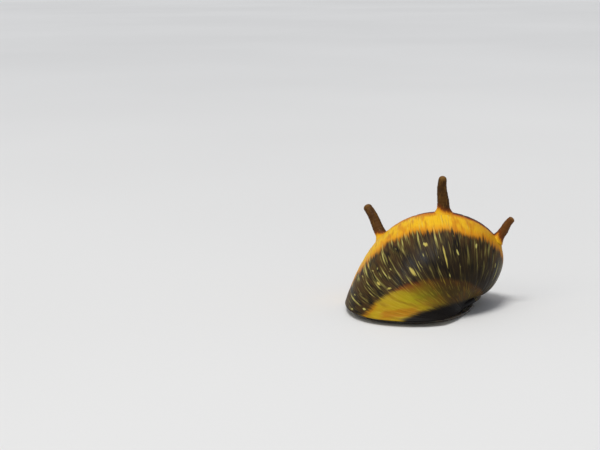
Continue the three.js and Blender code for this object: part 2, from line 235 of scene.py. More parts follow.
def coil(points, growth):
    """Carries margin points back to where the shell made them; growth is 0 now and negative before."""
    v = points - APEX
    c, s = np.cos(-growth)[..., None], np.sin(-growth)[..., None]
    turned = v * c + np.cross(AXIS, v) * s + AXIS * (v @ AXIS)[..., None] * (1 - c)
    return turned * np.exp(GROWTH * growth)[..., None] + APEX


def hinge_x(y):
    """Line in the margin's plane behind which the shell turns under itself as it grows."""
    return APEX[0] + (GROWTH * APEX[2] + AXIS[0] * (y - APEX[1])) / AXIS[1]


def crossing(side, inset, shelf):
    """Place along the margin, on one side, at which it passes behind the hinge line by the shelf."""
    near, far = 0.0, side * FURTHEST
    for _ in range(40):
        middle = (near + far) / 2
        point = margin_point(np.float64(middle), inset)
        if point[0] - hinge_x(point[1]) + shelf > 0:
            far = middle
        else:
            near = middle
    return near


def grain_of(turn, across):
    """Distances along growth and along the margin in millimetres, leaning as the streaks do."""
    size = MEAN_REACH * np.exp(GROWTH * turn)
    v = size * across
    return np.stack([size / GROWTH - STREAK_LEAN * v, v, 0 * v], -1)


def smooth_max(a, b, width):
    """The larger of two values, rounded over where they meet."""
    h = np.clip(0.5 + 0.5 * (a - b) / width, 0, 1)
    return b + (a - b) * h + width * h * (1 - h)


def dome(share, start, least=0.0):
    """Rounds off an end: 1 up to start, then down like a half circle."""
    past = np.clip((share - start) / (1 - start), 0, 1)
    return np.sqrt(np.clip(1 - past**2, least, 1))


# Mesh building


def finish_mesh(mesh, points, faces, layers):
    """Fills a mesh with points, with faces of any size, and with named values at the points."""
    flat = np.concatenate([np.asarray(face) for face in faces])
    totals = np.array([len(face) for face in faces])
    starts = np.concatenate([[0], np.cumsum(totals)[:-1]])
    mesh.vertices.add(len(points))
    mesh.vertices.foreach_set("co", np.asarray(points, np.float32).ravel())
    mesh.loops.add(len(flat))
    mesh.loops.foreach_set("vertex_index", flat.astype(np.int32))
    mesh.polygons.add(len(totals))
    mesh.polygons.foreach_set("loop_start", starts.astype(np.int32))
    mesh.polygons.foreach_set("loop_total", totals.astype(np.int32))
    mesh.update(calc_edges=True)
    for name, values in layers.items():
        values = np.asarray(values, np.float32)
        if values.ndim == 2:
            layer = mesh.attributes.new(name, "FLOAT_VECTOR", "POINT")
            layer.data.foreach_set("vector", values.ravel())
        else:
            layer = mesh.attributes.new(name, "FLOAT", "POINT")
            layer.data.foreach_set("value", values.ravel())
    mesh.polygons.foreach_set("use_smooth", np.ones(len(totals), bool))
    mesh.validate()
    return mesh


def grid_faces(rows, cols, wrap=False):
    """Quads over a grid of points, which may close round on itself."""
    index = np.arange(rows * cols).reshape(rows, cols)
    if wrap:
        index = np.concatenate([index, index[:, :1]], 1)
    return np.stack(
        [index[:-1, :-1], index[:-1, 1:], index[1:, 1:], index[1:, :-1]], -1
    ).reshape(-1, 4)


def new_piece(name, points_mm, faces, layers, material, replaced=()):
    """Makes an object from points in the margin's frame, in millimetres."""
    points = (np.asarray(points_mm) + SHIFT) * MM
    mesh = finish_mesh(bpy.data.meshes.new(name), points, faces, layers)
    piece = bpy.data.objects.new(name, mesh)
    bpy.context.scene.collection.objects.link(piece)
    mesh.materials.append(material)
    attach(piece, "root")
    if replaced:
        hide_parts(*replaced)
    return piece


# Material building


def rgb(red, green, blue):
    """A colour given as seen on screen, 0 to 255, turned into linear values."""
    linear = []
    for value in (red, green, blue):
        value /= 255
        linear.append(value / 12.92 if value <= 0.04045 else ((value + 0.055) / 1.055) ** 2.4)
    return (*linear, 1.0)


class Finish:
    """A material and short names for the nodes that make it."""

    def __init__(self, name):
        self.material = bpy.data.materials.new(name)
        self.material.use_nodes = True
        self.tree = self.material.node_tree
        self.shader = next(n for n in self.tree.nodes if n.type == "BSDF_PRINCIPLED")

    def feed(self, socket, value):
        if isinstance(value, bpy.types.NodeSocket):
            self.tree.links.new(value, socket)
        elif value is not None:
            socket.default_value = value

    def set(self, **values):
        for name, value in values.items():
            self.feed(self.shader.inputs[name.replace("_", " ")], value)

    def node(self, kind, **inputs):
        node = self.tree.nodes.new("ShaderNode" + kind)
        for name, value in inputs.items():
            self.feed(node.inputs[name.replace("_", " ")], value)
        return node

    def layer(self, name, vector=False):
        """Values that the mesh keeps at its points."""
        node = self.node("Attribute")
        node.attribute_name = name
        return node.outputs["Vector" if vector else "Fac"]

    def math(self, operation, a, b=0.0, clamp=False):
        node = self.node("Math")
        node.operation = operation
        node.use_clamp = clamp
        self.feed(node.inputs[0], a)
        self.feed(node.inputs[1], b)
        return node.outputs[0]

    def plus(self, a, b):
        return self.math("ADD", a, b)

    def minus(self, a, b):
        return self.math("SUBTRACT", a, b)

    def times(self, a, b):
        return self.math("MULTIPLY", a, b)

    def swing(self, noise, span):
        """Noise spread evenly about zero."""
        return self.times(self.minus(noise, 0.5), span)

    def vector_math(self, operation, a, b=None):
        node = self.node("VectorMath")
        node.operation = operation
        self.feed(node.inputs[0], a)
        self.feed(node.inputs[1], b)
        return node.outputs["Value" if operation == "LENGTH" else "Vector"]

    def scaled(self, vector, factors):
        return self.vector_math("MULTIPLY", vector, factors)

    def place(self):
        """Place on the piece in millimetres."""
        return self.scaled(self.node("TexCoord").outputs["Object"], (1 / MM, 1 / MM, 1 / MM))

    def split(self, vector):
        return self.node("SeparateXYZ", Vector=vector).outputs

    def normal_z(self):
        """How far a face looks up, from -1 to 1."""
        return self.split(self.node("NewGeometry").outputs["Normal"])["Z"]

    def noise(self, vector, scale, detail, rough, warp=0.0):
        node = self.node("TexNoise", Vector=vector, Scale=scale, Detail=detail, Roughness=rough)
        self.feed(node.inputs["Distortion"], warp)
        return node.outputs["Fac"]

    def cells(self, vector, scale):
        return self.node("TexVoronoi", Vector=vector, Scale=scale).outputs["Distance"]

    def step(self, value, low, high, to_low=0.0, to_high=1.0):
        """Smooth rise from low to high; low may be above high."""
        node = self.node("MapRange", Value=value, From_Min=low, From_Max=high, To_Min=to_low, To_Max=to_high)
        node.interpolation_type = "SMOOTHSTEP"
        return node.outputs[0]

    def ramp(self, value, stops):
        """Colour or grey along stops given as (place, colour or number)."""
        node = self.node("ValToRGB", Fac=value)
        band = node.color_ramp
        while len(band.elements) < len(stops):
            band.elements.new(0.5)
        for element, (spot, shade) in zip(band.elements, stops):
            element.position = spot
            element.color = shade if isinstance(shade, tuple) else (shade, shade, shade, 1)
        return node.outputs[0]

    def graph(self, value, low, high, stops):
        """Number read off a curve of (place, number) over low..high."""
        numbers = [n for _, n in stops]
        base, span = min(numbers), max(numbers) - min(numbers)
        share = self.math("DIVIDE", self.minus(value, low), high - low, clamp=True)
        read = self.ramp(
            share, [((p - low) / (high - low), (n - base) / span) for p, n in stops]
        )
        return self.plus(self.times(read, span), base)

    def mix(self, share, a, b):
        node = self.node("Mix")
        node.data_type = "RGBA"
        node.blend_type = "MIX"
        node.clamp_factor = True
        self.feed(node.inputs["Factor"], share)
        self.feed(node.inputs[6], a)
        self.feed(node.inputs[7], b)
        return node.outputs[2]

    def bump(self, height, distance_mm, strength):
        node = self.node("Bump", Strength=strength, Distance=distance_mm * MM, Height=height)
        self.feed(self.shader.inputs["Normal"], node.outputs[0])


# Colours of the shell.
NIGHT = rgb(20, 17, 15)
DUSK = rgb(38, 31, 20)
UMBER = rgb(80, 55, 26)
DRAB = rgb(86, 72, 34)
OLIVE = rgb(118, 108, 56)
STRAW = rgb(188, 178, 98)
PALE_STRAW = rgb(190, 172, 84)
GOLD = rgb(226, 176, 28)
SAFFRON = rgb(214, 146, 24)
AMBER = rgb(196, 120, 18)
OLD_GOLD = rgb(168, 100, 18)
OCHRE = rgb(150, 96, 22)
DEEP_OCHRE = rgb(150, 92, 20)
RUST = rgb(128, 48, 18)
MOSS = rgb(138, 128, 22)
BARK = rgb(62, 44, 22)
CREAM = rgb(226, 216, 186)
WORN = rgb(150, 136, 108)

# Colours of the lower band, from its edge down, and of the far band.
RUSSET = rgb(132, 78, 22)
MUSTARD = rgb(146, 118, 22)
TAN = rgb(146, 116, 26)
DULL_OLIVE = rgb(96, 76, 26)
HONEY = rgb(168, 114, 20)
LEMON = rgb(174, 162, 28)
BRONZE = rgb(120, 80, 24)
PRIMROSE = rgb(196, 176, 60)
FOX = rgb(158, 86, 22)
WHEAT = rgb(206, 140, 32)
BUFF = rgb(214, 176, 70)
SEPIA = rgb(96, 56, 20)

# Colours of the horns.
HORN_DARK = rgb(48, 35, 17)
HORN_BROWN = rgb(74, 52, 22)
HORN_STREAK = rgb(118, 88, 38)
HORN_WARM = rgb(124, 70, 26)
HORN_RUDDY = rgb(146, 78, 42)
HORN_TIP = rgb(128, 92, 44)
HORN_BASE = rgb(118, 58, 18)

# Colours of the inside of the shell, the flesh, the operculum, the eyes and the floor.
IVORY = rgb(206, 190, 150)
FLESH_BROWN, FLESH_GREY = rgb(58, 52, 46), rgb(88, 80, 66)
DAPPLE, PORE, SOLE = rgb(34, 30, 30), rgb(150, 140, 112), rgb(168, 158, 132)
PLATE_DULL, PLATE_PALE, PLATE_BROWN = rgb(150, 130, 92), rgb(188, 172, 134), rgb(104, 74, 46)
EYE_BLACK, EYE_BROWN = rgb(10, 9, 10), rgb(24, 20, 18)
FLOOR_DULL, FLOOR_PALE = rgb(214, 213, 210), rgb(220, 219, 216)

# Flecks that stand out: growth angle, angle across, half width and half length in millimetres.
MARKS = [
    (-51, 50, 0.18, 0.8),
    (-71, 21, 0.17, 0.3),
    (-83, 35, 0.09, 1.2),
    (-28, 58, 0.16, 0.22),
    (-26, 47, 0.13, 0.4),
    (-28, 19, 0.11, 0.8),
]

# Edges of the bands, as growth angle and angle across.
UPPER_BAND_EDGE = [(-360, -22), (-160, -13), (-130, -7), (-110, 2), (-94, 0), (-80, 6), (-68, 3),
                   (-54, 8), (-46, 5), (-36, 13), (0, 16)]
LOWER_BAND_EDGE = [(-360, 84), (-150, 86), (-100, 98), (-70, 104), (-30, 103), (0, 98)]


class ShellFinish(Finish):
    """Pattern of the shell, which follows the growth angle and the angle across, in degrees."""

    def __init__(self):
        super().__init__("shell_pattern")
        self.turn = self.layer("turn")
        self.across = self.layer("across")
        self.inside = self.layer("inside")
        self.boss = self.layer("boss")
        self.grain = self.layer("grain", vector=True)

        # Fine streaks run along the growth lines; the x of grain is along growth, y along the lines.
        self.fine = self.streaks((4.3, 0.21, 1), 2.0, 0.55, 0.1)
        self.thread = self.streaks((7.5, 0.42, 1), 2.0, 0.5)
        self.patch = self.streaks((1.5, 0.28, 1), 2.0, 0.5)
        self.comb = self.streaks((4.6, 0.12, 1), 3.0, 0.7)
        self.cloud = self.streaks((0.3, 0.3, 1), 2.0, 0.5)
        self.spots = self.streaks((1.8, 0.55, 1), 1.0, 0.4, 0.3)

    def streaks(self, stretch, detail, rough, warp=0.0):
        return self.noise(self.scaled(self.grain, stretch), 1.0, detail, rough, warp)

    def fleck(self, turn, across, half_width, half_length):
        """One pale fleck at a place on the shell, sized in millimetres."""
        offset = self.vector_math("SUBTRACT", self.grain, grain_of(turn * DEG, across * DEG))
        length = self.vector_math("LENGTH", self.scaled(offset, (1 / half_width, 1 / half_length, 1)))
        return self.step(self.plus(length, self.times(self.thread, 2.4)), 2.5, 1.7, 0, 0.9)

    def dark_zone(self):
        """Brown and streaked towards the lip and the upper band, black below and behind."""
        early = self.step(self.turn, -95, -10)
        above = self.step(self.across, 44, 0)
        lively = self.math("ADD", self.times(early, 0.55), self.times(above, 0.6), clamp=True)
        brown = self.times(self.step(self.patch, 0.38, 0.6), self.step(lively, 0.0, 1.0, 0.1, 1.0))
        dark = self.mix(self.step(self.cloud, 0.35, 0.65), NIGHT, DUSK)
        dark = self.mix(self.times(brown, 0.85), dark, UMBER)
        faint = self.times(self.step(self.thread, 0.46, 0.64), self.step(lively, 0.0, 0.8, 0.25, 0.6))
        dark = self.mix(faint, dark, DRAB)

        # Streaks show where the fine noise rises above a threshold.
        threshold = self.step(lively, 0.0, 1.0, 0.59, 0.48)
        threshold = self.plus(threshold, self.step(self.turn, -26, -6, 0, 0.035))
        rise = self.minus(self.fine, threshold)
        dark = self.mix(self.times(self.step(rise, 0.0, 0.1), 0.85), dark, OLIVE)
        dark = self.mix(self.times(self.step(rise, 0.09, 0.17), 0.8), dark, STRAW)
        dots = self.times(self.step(self.spots, 0.7, 0.75), self.step(self.fine, 0.42, 0.5))
        dark = self.mix(self.times(dots, 0.85), dark, STRAW)
        for mark in MARKS:
            dark = self.mix(self.fleck(*mark), dark, PALE_STRAW)
        return dark

    def upper_band(self):
        """Golden band with a comb-like lower edge; gives its share, its upper limit and its colour."""
        low_edge = self.graph(self.turn, -360, 0, UPPER_BAND_EDGE)
        depth = self.minus(self.plus(low_edge, self.swing(self.comb, 50)), self.across)
        band = self.step(depth, -4, 5)
        above_edge = self.minus(self.plus(low_edge, 4), self.across)
        height = self.math("DIVIDE", above_edge, 44, clamp=True)
        golden = self.ramp(
            height,
            [(0.0, UMBER), (0.08, OCHRE), (0.22, SAFFRON), (0.42, GOLD), (0.76, GOLD), (0.93, AMBER)],
        )
        golden = self.mix(self.step(self.fine, 0.55, 0.68, 0, 0.4), golden, STRAW)
        golden = self.mix(self.step(self.patch, 0.5, 0.32, 0, 0.7), golden, AMBER)
        golden = self.mix(self.step(self.turn, -92, -140, 0, 0.5), golden, OLD_GOLD)
        golden = self.mix(self.step(self.thread, 0.52, 0.66, 0, 0.35), golden, DEEP_OCHRE)
        edge = self.plus(self.across, self.swing(self.comb, 6))
        over = self.step(edge, -40.5, -43.5)
        golden = self.mix(self.step(edge, -34, -41), golden, RUST)
        return band, over, golden

    def lower_band(self):
        """Olive and yellow band; gives its share, the room left below it and its colour."""
        wave = self.plus(self.across, self.swing(self.fine, 12))
        left = self.minus(self.graph(self.turn, -360, 0, LOWER_BAND_EDGE), wave)
        band = self.times(self.step(wave, 59.5, 66.5), self.step(left, -4, 5))
        olive = self.ramp(
            self.math("DIVIDE", self.minus(wave, 61), 42, clamp=True),
            [(0.0, RUST), (0.1, RUSSET), (0.3, MUSTARD), (0.5, MOSS), (0.75, TAN), (1.0, DULL_OLIVE)],
        )
        olive = self.mix(self.step(self.turn, -40, -8), olive, HONEY)
        yellow = self.times(self.step(self.cloud, 0.42, 0.6), self.step(self.turn, -70, -30))
        olive = self.mix(self.times(yellow, 0.5), olive, LEMON)
        # Painted shade: the band darkens to bark brown towards the rear, where it turns under the shell.
        olive = self.mix(self.step(self.turn, -22, -70, 0, 0.94), olive, BARK)
        olive = self.mix(self.step(self.patch, 0.5, 0.7, 0, 0.4), olive, BRONZE)
        olive = self.mix(self.step(self.thread, 0.55, 0.7, 0, 0.3), olive, PRIMROSE)
        return band, left, olive

    def far_band(self):
        """Second, narrower band far over the shoulder; gives its share and its colour."""
        frayed = self.plus(self.across, self.swing(self.comb, 16))
        band = self.times(self.step(frayed, -83, -87), self.step(frayed, -108, -103))
        tawny = self.mix(self.step(self.patch, 0.35, 0.65), FOX, WHEAT)
        tawny = self.mix(self.step(self.fine, 0.5, 0.64, 0, 0.6), tawny, BUFF)
        tawny = self.mix(self.step(self.thread, 0.42, 0.32, 0, 0.7), tawny, SEPIA)
        return band, tawny


def shell_finish():
    f = ShellFinish()
    dark = f.dark_zone()
    upper, over, golden = f.upper_band()
    lower, left, olive = f.lower_band()
    far, tawny = f.far_band()
    colour = f.mix(upper, dark, golden)
    colour = f.mix(over, colour, dark)
    colour = f.mix(f.times(far, 0.9), colour, tawny)
    colour = f.mix(lower, colour, olive)
    colour = f.mix(f.step(left, 3, -6), colour, NIGHT)

    # Rusty and brown on the bosses, worn at the tip, cream inside the lip.
    colour = f.mix(f.step(f.boss, 0.62, 0.76, 0, 0.55), colour, RUST)
    colour = f.mix(f.step(f.boss, 0.78, 0.9), colour, BARK)
    worn = f.times(f.step(f.turn, -520, -760), f.step(f.cloud, 0.3, 0.55, 0.4, 0.8))
    colour = f.mix(worn, colour, WORN)
    colour = f.mix(f.inside, colour, CREAM)
    f.set(Base_Color=colour)

    lines = f.streaks((6.5, 0.08, 1), 4.0, 0.7)
    f.bump(f.plus(lines, f.times(f.fine, 0.5)), 0.05, 0.5)
    f.set(Roughness=f.step(f.patch, 0.3, 0.7, 0.36, 0.52), IOR=1.5, Specular_IOR_Level=0.08)
    return f.material


def horn_finish():
    """Brown horn, redder on one side and paler at the end, with the band's colours on its foot."""
    f = Finish("horn_pattern")
    share = f.layer("share")
    side = f.layer("side")
    warm = f.layer("warm")
    banded = f.layer("banded")
    grain = f.layer("grain", vector=True)
    fine = f.noise(f.scaled(grain, (7, 1.3, 7)), 1.0, 3.0, 0.6)
    patch = f.noise(f.scaled(grain, (1.8, 0.9, 1.8)), 1.0, 2.0, 0.5)
    colour = f.mix(f.step(patch, 0.35, 0.65), HORN_DARK, HORN_BROWN)
    colour = f.mix(f.step(fine, 0.52, 0.68, 0, 0.6), colour, HORN_STREAK)
    ruddy = f.times(f.step(side, 0.4, 0.95), f.step(warm, 0.0, 1.0, 0.35, 1.0))
    colour = f.mix(f.times(warm, 0.5), colour, HORN_WARM)
    colour = f.mix(f.times(ruddy, 0.85), colour, HORN_RUDDY)
    colour = f.mix(f.step(share, 0.8, 1.0, 0, 0.7), colour, HORN_TIP)

    # The band's colours climb the front of the foot, and the brown runs down behind.
    place = f.split(grain)
    height = f.plus(place["Y"], f.swing(fine, 0.6))
    height = f.minus(height, f.times(place["X"], 0.8))
    colour = f.mix(f.step(height, 1.1, 0.5, 0, 0.7), colour, HORN_BASE)
    ragged = f.plus(banded, f.swing(fine, 0.5))
    foot = f.mix(f.step(ragged, 0.3, 0.42), UMBER, RUST)
    foot = f.mix(f.step(ragged, 0.4, 0.56), foot, AMBER)
    bright = f.times(f.step(height, 0.5, 0.0), f.step(ragged, 0.48, 0.66, 0, 0.85))
    foot = f.mix(bright, foot, GOLD)
    colour = f.mix(f.step(height, 0.62, 0.3), colour, foot)
    f.set(Base_Color=colour)

    rings = f.noise(f.scaled(grain, (0.6, 7, 0.6)), 1.0, 3.0, 0.6)
    f.bump(f.plus(rings, f.times(fine, 0.6)), 0.05, 0.6)
    f.set(Roughness=f.step(patch, 0.3, 0.7, 0.42, 0.56), IOR=1.5, Specular_IOR_Level=0.08)
    return f.material


def inside_and_painted_shade_finish():
    """Cream underside of the shell, with painted shade: near black on any face that looks up, standing in
    for the shadow in the suture and under the shell.
    """
    f = Finish("shell_inside_painted_shade")
    spot = f.place()
    cloud = f.noise(spot, 0.5, 3.0, 0.5)
    lines = f.noise(f.scaled(spot, (3, 0.6, 3)), 1.0, 3.0, 0.6)
    pale = f.mix(f.step(cloud, 0.35, 0.65), CREAM, IVORY)
    # Painted shade: faces that do not look down take NIGHT, a dark stand-in for the shadow in the hollows.
    down = f.step(f.normal_z(), -0.2, -0.5)
    f.set(Base_Color=f.mix(down, NIGHT, pale), Roughness=f.step(cloud, 0.3, 0.7, 0.25, 0.4))
    f.bump(lines, 0.03, 0.4)
    f.set(Specular_IOR_Level=0.5)
    return f.material


def flesh_finish():
    """Grey-brown skin with dark dapples and pale pores, paler on the sole."""
    f = Finish("flesh_mottled")
    spot = f.place()
    cloud = f.noise(spot, 0.9, 3.0, 0.55)
    dapple = f.noise(spot, 4.2, 3.0, 0.6)
    pores = f.cells(spot, 9.0)
    colour = f.mix(f.step(cloud, 0.35, 0.65), FLESH_BROWN, FLESH_GREY)
    colour = f.mix(f.step(dapple, 0.52, 0.66, 0, 0.8), colour, DAPPLE)
    colour = f.mix(f.step(pores, 0.2, 0.05, 0, 0.5), colour, PORE)
    colour = f.mix(f.step(f.normal_z(), -0.55, -0.85, 0, 0.75), colour, SOLE)
    f.set(Base_Color=colour, Roughness=f.step(dapple, 0.3, 0.7, 0.26, 0.42))
    f.set(Subsurface_Weight=0.15, Subsurface_Scale=0.0006, Specular_IOR_Level=0.5)
    f.set(Coat_Weight=0.25, Coat_Roughness=0.2)
    f.bump(f.plus(dapple, f.times(pores, -0.6)), 0.05, 0.5)
    return f.material


def operculum_finish():
    """Horny lid with rings of growth and brown clouds."""
    f = Finish("operculum_plate")
    spot = f.place()
    wave = f.node("TexWave", Vector=spot, Scale=1.4, Distortion=1.5)
    wave.wave_type = "RINGS"
    rings = wave.outputs["Fac"]
    cloud = f.noise(spot, 1.2, 3.0, 0.5)
    colour = f.mix(rings, PLATE_DULL, PLATE_PALE)
    colour = f.mix(f.step(cloud, 0.45, 0.7, 0, 0.6), colour, PLATE_BROWN)
    f.set(Base_Color=colour, Roughness=f.step(cloud, 0.3, 0.7, 0.3, 0.5))
    f.bump(rings, 0.03, 0.4)
    return f.material


def eye_finish():
    f = Finish("eye_gloss")
    spot = f.place()
    cloud = f.noise(spot, 6.0, 2.0, 0.5)
    f.set(Base_Color=f.mix(f.step(cloud, 0.4, 0.6), EYE_BLACK, EYE_BROWN))
    f.set(Roughness=f.step(cloud, 0.3, 0.7, 0.06, 0.12), Coat_Weight=0.6, Coat_Roughness=0.05)
    return f.material


def floor_finish():
    f = Finish("floor_pale")
    spot = f.place()
    cloud = f.noise(spot, 0.004, 3.0, 0.5)
    grit = f.noise(spot, 3.0, 3.0, 0.6)
    colour = f.mix(f.step(cloud, 0.3, 0.7), FLOOR_DULL, FLOOR_PALE)
    f.set(Base_Color=colour, Roughness=f.step(grit, 0.3, 0.7, 0.6, 0.72), Specular_IOR_Level=0.25)
    return f.material


SHELL = shell_finish()
HORN = horn_finish()
INSIDE_AND_SHADE = inside_and_painted_shade_finish()
FLESH = flesh_finish()


# Shell


def horn_place(horn):
    """Root of a horn on the shell, its tip, and the direction from one to the other."""
    root = coil(margin_point(np.float64(HORN_LINE)), np.float64(horn.growth * DEG))
    tip = np.array(horn.tip)
    along = (tip - root) / np.linalg.norm(tip - root)
    return root, tip, along


def growth_relief(turn, across):
    """Height of growth lines in millimetres: fine ripples and a few rest lines."""
    u = MEAN_REACH / GROWTH * np.exp(GROWTH * turn)
    height = np.zeros_like(u)
    for length in RIPPLES:
        phase, lean = rng.uniform(0, 6.28), rng.uniform(-0.5, 0.5)
        swell = 0.5 + 0.5 * np.sin(u / (length * RIPPLE_SWELL) + 2 * phase)
        wave = np.sin(2 * np.pi * u / length + phase + lean * across)
        height += RIPPLE_HEIGHT * length**0.6 * swell * wave
    for rest, depth in REST_LINES:
        away = (turn / DEG - rest) / REST_WIDTH
        height -= depth * np.exp(-away * away) * (away > -3)
    return height


def surface_normals(points):
    along = np.gradient(points, axis=0)
    aside = np.gradient(points, axis=1)
    normal = np.cross(along, aside)
    return normal / np.linalg.norm(normal, axis=-1, keepdims=True)


def raise_bosses(points, turn):
    """Draws the surface up to the horns, and says how far up a boss each point is."""
    share_up = np.zeros(points.shape[:2])
    for horn in HORNS:
        reach = (1 + horn.spread) * horn.radius
        root, _, along = horn_place(horn)
        offset = points - root
        high = offset @ along
        out = np.linalg.norm(offset - high[..., None] * along, axis=-1)
        same_whorl = np.abs(turn / DEG - horn.growth) < BOSS_RANGE
        near = same_whorl & (out < reach) & (high > -BOSS_BELOW)
        share = 1 - np.sqrt(np.clip((out / horn.radius - 1) / horn.spread, 0, 1))
        top = -BOSS_DEPTH + (BOSS_DEPTH + BOSS_HEIGHT) * share + BOSS_SHEET
        raised = smooth_max(np.minimum(top, BOSS_CAP), high, BOSS_BLEND)
        fade = np.clip((reach - out) / (0.5 * horn.radius), 0, 1)
        gain = np.where(near, (raised - high) * fade, 0)
        points = points + gain[..., None] * along
        share_up = np.maximum(share_up, np.where(near, np.clip(share * fade, 0, 1), 0))
    return points, share_up


def suture_path(base, turn_row):
    """Short path from the rear end of the lip to the older whorl beside it, older end first."""
    older = (turn_row > OLDER_WHORL[0]) & (turn_row < OLDER_WHORL[1])
    normal = surface_normals(base)[older].reshape(-1, 3)
    surface = base[older].reshape(-1, 3)
    end, before = base[-1, 0], base[-1, 3]
    nearest = np.argmin(np.linalg.norm(surface - end, axis=1))
    foot, inward = surface[nearest], -normal[nearest]
    if inward @ (end - foot) > 0:
        inward = -inward
    foot = foot + SUTURE_SINK * inward
    onward = (end - before) / np.linalg.norm(end - before)
    knee = end + SUTURE_BEND * onward + SUTURE_BEND * (foot - end)
    share = np.linspace(0, 1, SUTURE_POINTS)[:-1, None]
    return (1 - share) ** 2 * foot + 2 * share * (1 - share) * knee + share**2 * end


def lip_rings(column, suture, end):
    """Rings of the lip, which rolls under and runs up inside, with the growth angle of each."""
    margin = column[len(suture) :]
    rings = []
    for inset, height in LIP_ROLL:
        ring = margin_point(margin, inset)
        ring[:, 2] = height
        step = ring[0] - end
        rings.append(np.concatenate([suture + step, ring]))
    # Further in, the suture's end of each ring keeps the last step.
    for t in LIP_TURNS:
        ring = margin_point(margin, LIP_WALL / math.exp(GROWTH * t))
        rings.append(coil(np.concatenate([suture + step, ring]), np.full(column.shape, t)))
    return np.stack(rings), np.concatenate([np.zeros(len(LIP_ROLL)), LIP_TURNS])


def build_shell():
    """One sheet for the whole outside of the shell, from the worn tip to the inside of the lip."""
    rows_old = np.arange(OLDEST_TURN, LAST_WHORL, OLD_STEP)
    rows_new = np.arange(LAST_WHORL, 0.01, NEW_STEP)
    turn_row = np.concatenate([rows_old, rows_new]) * DEG
    low, high = crossing(-1, 0.0, LIP_SHELF), crossing(1, 0.0, LIP_SHELF)
    column = np.linspace(low, high, COLUMNS)
    turn, across = np.meshgrid(turn_row, column, indexing="ij")
    base = coil(margin_point(across), turn)

    # Extra columns at the low end close the suture: one path is carried back through all stages.
    suture = suture_path(base, turn_row)
    seam = len(suture)
    gap = np.linalg.norm(np.diff(np.concatenate([suture, base[-1, :1]]), axis=0), axis=1)
    column = np.concatenate([low - np.cumsum(gap[::-1])[::-1] / MEAN_REACH, column])
    turn, across = np.meshgrid(turn_row, column, indexing="ij")
    closed = coil(np.broadcast_to(suture, (len(turn_row), seam, 3)), turn[:, :seam])
    base = np.concatenate([closed, base], axis=1)

    normal = surface_normals(base)
    outward = np.sign(np.sum(normal * (base - APEX), axis=-1).mean())
    normal = normal * outward
    crease = CREASE_HEIGHT * np.exp(-(((across - low) / CREASE_WIDTH) ** 2))
    points = base + normal * (SHEET_HEIGHT + crease + growth_relief(turn, across))[..., None]
    points, boss = raise_bosses(points, turn)
    points[..., 2] = np.where(turn > FLATTENED, np.maximum(points[..., 2], 0), points[..., 2])

    lip, lip_turn = lip_rings(column, suture, base[-1, seam])
    extra = len(lip)
    grid = np.concatenate([points, lip])
    turn = np.concatenate([turn, np.repeat(lip_turn[:, None], len(column), 1)])
    across = np.concatenate([across, np.repeat(column[None], extra, 0)])
    boss = np.concatenate([boss, np.zeros((extra, len(column)))])
    pale = np.clip((np.arange(extra) - 1) / 4, 0, 1)
    inside = np.concatenate([np.zeros(points.shape[:2]), np.repeat(pale[:, None], len(column), 1)])
    layers = {
        "turn": (turn / DEG).ravel(),
        "across": (across / DEG).ravel(),
        "boss": boss.ravel(),
        "inside": inside.ravel(),
        "grain": grain_of(turn, across).reshape(-1, 3),
    }
    faces = grid_faces(*grid.shape[:2])
    if outward > 0:
        faces = faces[:, ::-1]
    piece = new_piece(
        "shell_surface", grid.reshape(-1, 3) + LIFT, faces, layers, SHELL, ["shell_spire"]
    )
    return piece


def build_callus():
    """Rounded rim behind the hinge line, where the shell turns under."""
    start = crossing(1, *CALLUS_START)
    end = crossing(-1, 0.0, LIP_SHELF) + 2 * math.pi
    column = np.linspace(start, end, CALLUS_COLUMNS)
    away = np.minimum(1, np.abs(column - CALLUS_WAIST_CENTRE) / CALLUS_WAIST_HALF)
    tuck_from, tuck_to = CALLUS_TUCK_SPAN
    tuck = np.clip((column - tuck_from) / (tuck_to - tuck_from), 0, 1)
    waist = CALLUS_WAIST * np.cos(away * math.pi / 2) ** 2 + CALLUS_TUCK * tuck**2 * (3 - 2 * tuck)
    rows = []
    for height, inset in CALLUS_PROFILE:
        ring = margin_point(column, inset - CALLUS_SHEET + waist)
        ring[:, 2] = height
        rows.append(ring)
    grid = np.stack(rows)

    signed = np.where(column > math.pi, column - 2 * math.pi, column)
    across = np.repeat(signed[None], len(rows), 0)
    left, right = CALLUS_ACROSS
    across = np.where(across > 0, np.maximum(across, left), np.minimum(across, right))
    height, depth = (
        np.repeat(np.array(values)[:, None], len(column), 1) for values in zip(*CALLUS_PROFILE)
    )
    # Only the underside is pale.
    inside = np.where(height < 0.05, np.clip((depth - 0.5) / 0.3, 0, 1), 0)
    length = np.repeat(CALLUS_REACH * column[None], len(rows), 0)
    layers = {
        "turn": np.full(grid.shape[:2], CALLUS_AGE).ravel(),
        "across": (across / DEG).ravel(),
        "boss": np.zeros(grid.shape[0] * grid.shape[1]),
        "inside": inside.ravel(),
        "grain": np.stack([length, height * 1.5, 0 * length], -1).reshape(-1, 3),
    }
    faces = grid_faces(*grid.shape[:2])
    piece = new_piece("shell_callus", grid.reshape(-1, 3) + LIFT, faces, layers, SHELL)
    return piece


# Horns


def catmull(points, count):
    """Smooth path through a few points."""
    ends = [2 * points[0] - points[1], *points, 2 * points[-1] - points[-2]]
    path = []
    for i in range(len(points) - 1):
        a, b, c, d = ends[i : i + 4]
        slope, bend, twist = c - a, 2 * a - 5 * b + 4 * c - d, 3 * b - a - 3 * c + d
        for t in np.linspace(0, 1, count, endpoint=False):
            path.append(0.5 * (2 * b + slope * t + bend * t**2 + twist * t**3))
    path.append(points[-1])
    return np.array(path)


